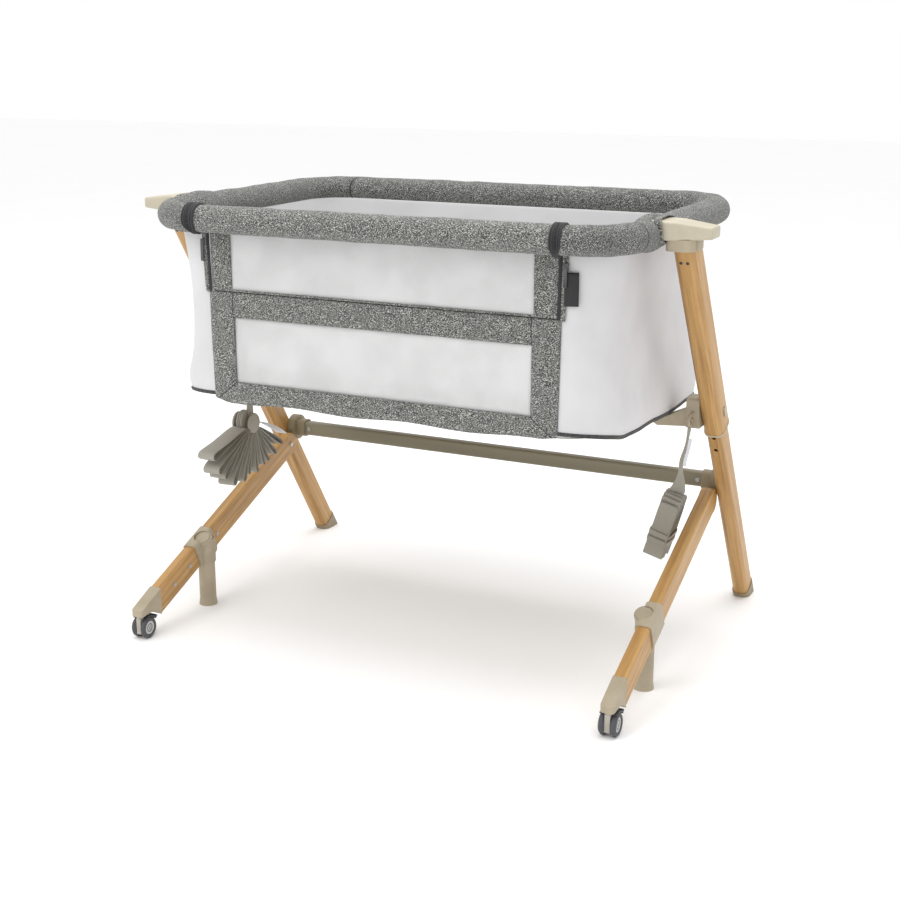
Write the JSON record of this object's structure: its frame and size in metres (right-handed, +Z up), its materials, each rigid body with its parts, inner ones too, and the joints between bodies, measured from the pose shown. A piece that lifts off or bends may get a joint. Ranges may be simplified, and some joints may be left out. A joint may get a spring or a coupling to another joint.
{
  "type": "bedside sleeper crib",
  "caption": "Bedside sleeper crib on a leaning height-adjustable stand with a fold-down front side, mesh windows, casters and tether straps.",
  "frame": {"origin": "on the floor, under the centre of the bounding box", "axes": "+Z up; X along the bed, the arms point to +X and -X; -Y towards the fold-down side, where the casters are"},
  "size_m": [0.99, 0.701, 0.742],
  "materials": {
    "wood_look_tube": "satin wood-look foil",
    "taupe_plastic": "fine matte",
    "beige_plastic": "fine matte",
    "dark_plastic": "fine matte",
    "caster_rubber": "matte",
    "olive_tube": "satin",
    "steel": "plain",
    "heather_fabric": "flecked weave",
    "white_mesh": "open mesh",
    "white_fabric": "soft weave",
    "black_tape": "ribbed tape",
    "zip_metal": "satin",
    "webbing": "ribbed webbing",
    "board": "plain board"
  },
  "bodies": {
    "base": {"rear_leg_left": "wood_look_tube", "rear_leg_right": "wood_look_tube", "rear_foot_left": "taupe_plastic", "rear_foot_right": "taupe_plastic", "front_leg_lower_left": "wood_look_tube", "front_leg_lower_right": "wood_look_tube", "front_leg_upper_left": "wood_look_tube", "front_leg_upper_right": "wood_look_tube", "hub_left": "dark_plastic", "hub_right": "dark_plastic", "crossbar": "olive_tube", "frame_bolts": "steel", "foot_sleeve_left": "taupe_plastic", "foot_sleeve_right": "taupe_plastic", "caster_nose_left": "taupe_plastic", "caster_nose_right": "taupe_plastic"},
    "bed": {"post_left": "wood_look_tube", "post_right": "wood_look_tube", "collar_left": "taupe_plastic", "collar_right": "taupe_plastic", "post_head_left": "taupe_plastic", "post_head_right": "taupe_plastic", "top_arm_left": "beige_plastic", "top_arm_right": "beige_plastic", "head_screws": "steel", "lower_bracket_left": "taupe_plastic", "lower_bracket_right": "taupe_plastic", "strap_hooks": "steel", "strap_hank_left": "webbing", "strap_hank_right": "webbing", "rim_tube": "steel", "rim_padding": "heather_fabric", "base_frame": "steel", "base_board": "board", "mattress": "white_fabric", "cloth_skirt": "white_fabric", "lower_mesh": "white_mesh", "lower_border": "heather_fabric", "zip_tapes": "black_tape"},
    "drop_side": {"front_rail_tube": "steel", "front_rail_padding": "heather_fabric", "drop_mesh": "white_mesh", "drop_border": "heather_fabric", "drop_zip_bands": "black_tape"},
    "zip_slider_right": {"zip_slider_right": "zip_metal"},
    "height_button_right": {"height_button_right": "beige_plastic"},
    "support_foot_right": {"support_foot_right": "taupe_plastic"},
    "foot_button_right": {"foot_button_right": "taupe_plastic"},
    "caster_fork_right": {"caster_fork_right": "beige_plastic"},
    "caster_brake_right": {"caster_brake_right": "dark_plastic"},
    "caster_wheel_right_inner": {"caster_wheel_right_inner": "caster_rubber"},
    "caster_wheel_right_outer": {"caster_wheel_right_outer": "caster_rubber"},
    "zip_slider_left": {"zip_slider_left": "zip_metal"},
    "height_button_left": {"height_button_left": "beige_plastic"},
    "support_foot_left": {"support_foot_left": "taupe_plastic"},
    "foot_button_left": {"foot_button_left": "taupe_plastic"},
    "caster_fork_left": {"caster_fork_left": "beige_plastic"},
    "caster_brake_left": {"caster_brake_left": "dark_plastic"},
    "caster_wheel_left_inner": {"caster_wheel_left_inner": "caster_rubber"},
    "caster_wheel_left_outer": {"caster_wheel_left_outer": "caster_rubber"}
  },
  "joints": [
    {"name": "bed_lift", "type": "slide", "parent": "base", "child": "bed", "axis": [0, -0.5461, 0.8377], "range_m": [-0.058, 0.087]},
    {"name": "drop_side_fold", "type": "hinge", "parent": "bed", "child": "drop_side", "pos_m": [0, -0.26317, 0.5963], "axis": [1, 0, 0], "range_deg": [0, 150]},
    {"name": "zip_run_right", "type": "slide", "parent": "bed", "child": "zip_slider_right", "axis": [0, 0, -1], "range_m": [0, 0.082]},
    {"name": "height_press_right", "type": "slide", "parent": "bed", "child": "height_button_right", "axis": [-1, 0, 0], "range_m": [0, 0.0019], "stiffness_N_per_m": 600, "springref_m": -0.002},
    {"name": "foot_slide_right", "type": "slide", "parent": "base", "child": "support_foot_right", "axis": [0, 0, 1], "range_m": [0, 0.012]},
    {"name": "foot_press_right", "type": "slide", "parent": "base", "child": "foot_button_right", "axis": [0, 0.5, -0.866], "range_m": [0, 0.003], "stiffness_N_per_m": 600, "springref_m": -0.002},
    {"name": "caster_swivel_right", "type": "hinge", "parent": "base", "child": "caster_fork_right", "pos_m": [0.422, -0.34, 0.0417], "axis": [0, 0, 1], "continuous": true},
    {"name": "caster_roll_right_inner", "type": "hinge", "parent": "caster_fork_right", "child": "caster_wheel_right_inner", "pos_m": [0.422, -0.332, 0.0185], "axis": [1, 0, 0], "continuous": true},
    {"name": "caster_roll_right_outer", "type": "hinge", "parent": "caster_fork_right", "child": "caster_wheel_right_outer", "pos_m": [0.422, -0.332, 0.0185], "axis": [1, 0, 0], "continuous": true},
    {"name": "caster_brake_press_right", "type": "hinge", "parent": "caster_fork_right", "child": "caster_brake_right", "pos_m": [0.422, -0.332, 0.0185], "axis": [-1, 0, 0], "range_deg": [0, 12]},
    {"name": "zip_run_left", "type": "slide", "parent": "bed", "child": "zip_slider_left", "axis": [0, 0, -1], "range_m": [0, 0.082]},
    {"name": "height_press_left", "type": "slide", "parent": "bed", "child": "height_button_left", "axis": [1, 0, 0], "range_m": [0, 0.0019], "stiffness_N_per_m": 600, "springref_m": -0.002},
    {"name": "foot_slide_left", "type": "slide", "parent": "base", "child": "support_foot_left", "axis": [0, 0, 1], "range_m": [0, 0.012]},
    {"name": "foot_press_left", "type": "slide", "parent": "base", "child": "foot_button_left", "axis": [0, 0.5, -0.866], "range_m": [0, 0.003], "stiffness_N_per_m": 600, "springref_m": -0.002},
    {"name": "caster_swivel_left", "type": "hinge", "parent": "base", "child": "caster_fork_left", "pos_m": [-0.422, -0.34, 0.0417], "axis": [0, 0, 1], "continuous": true},
    {"name": "caster_roll_left_inner", "type": "hinge", "parent": "caster_fork_left", "child": "caster_wheel_left_inner", "pos_m": [-0.422, -0.332, 0.0185], "axis": [1, 0, 0], "continuous": true},
    {"name": "caster_roll_left_outer", "type": "hinge", "parent": "caster_fork_left", "child": "caster_wheel_left_outer", "pos_m": [-0.422, -0.332, 0.0185], "axis": [1, 0, 0], "continuous": true},
    {"name": "caster_brake_press_left", "type": "hinge", "parent": "caster_fork_left", "child": "caster_brake_left", "pos_m": [-0.422, -0.332, 0.0185], "axis": [-1, 0, 0], "range_deg": [0, 12]}
  ]
}
